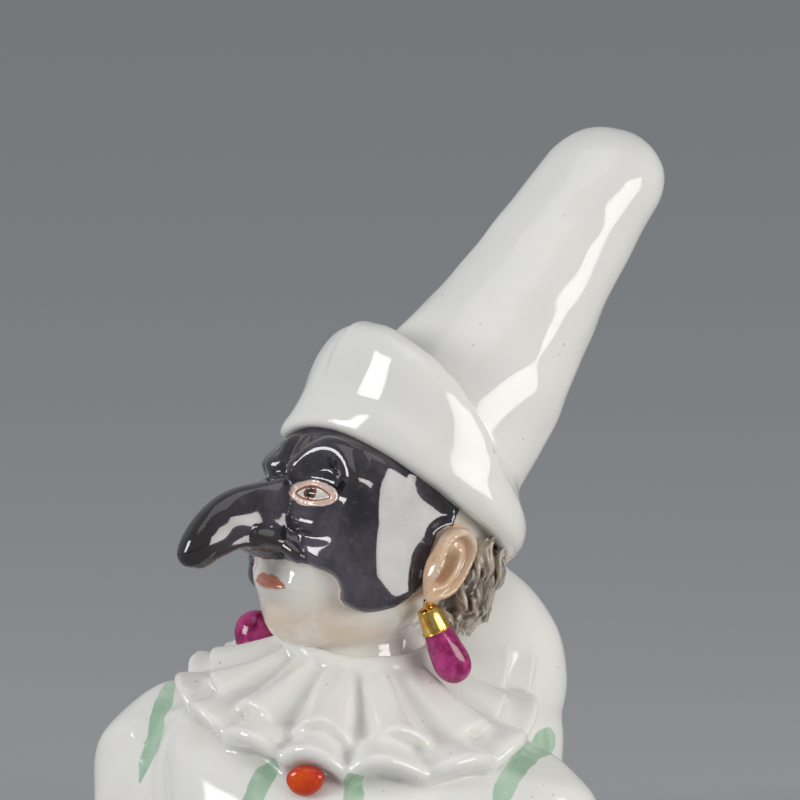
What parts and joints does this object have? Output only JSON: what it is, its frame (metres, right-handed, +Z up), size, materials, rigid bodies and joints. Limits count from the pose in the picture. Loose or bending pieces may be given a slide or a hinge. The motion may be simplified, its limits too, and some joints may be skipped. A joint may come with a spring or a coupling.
{
  "type": "commedia dell arte figure",
  "caption": "Glazed porcelain bust of a masked stage clown with a tall hat, hooked beak mask, ruff and humped back, cut flat below; a small ornament.",
  "frame": {"origin": "on the flat underside, under the neck", "axes": "+Z up, the chest faces -Y and the figure's left arm is at +X"},
  "size_m": [0.0406, 0.034, 0.0558],
  "materials": {
    "porcelain": "glossy clear glaze over white hard-paste porcelain",
    "mask_paint": "dark violet-grey enamel, mottled blue and brown, fired glossy",
    "hair_paint": "dark brown brush lines over white, glossy",
    "gold": "burnished gold on the earring caps",
    "drop_paint": "mottled plum-red enamel, glossy",
    "button_paint": "orange-red enamel, glossy"
  },
  "bodies": {
    "root": {"masked_clown_bust": "porcelain"}
  },
  "joints": []
}
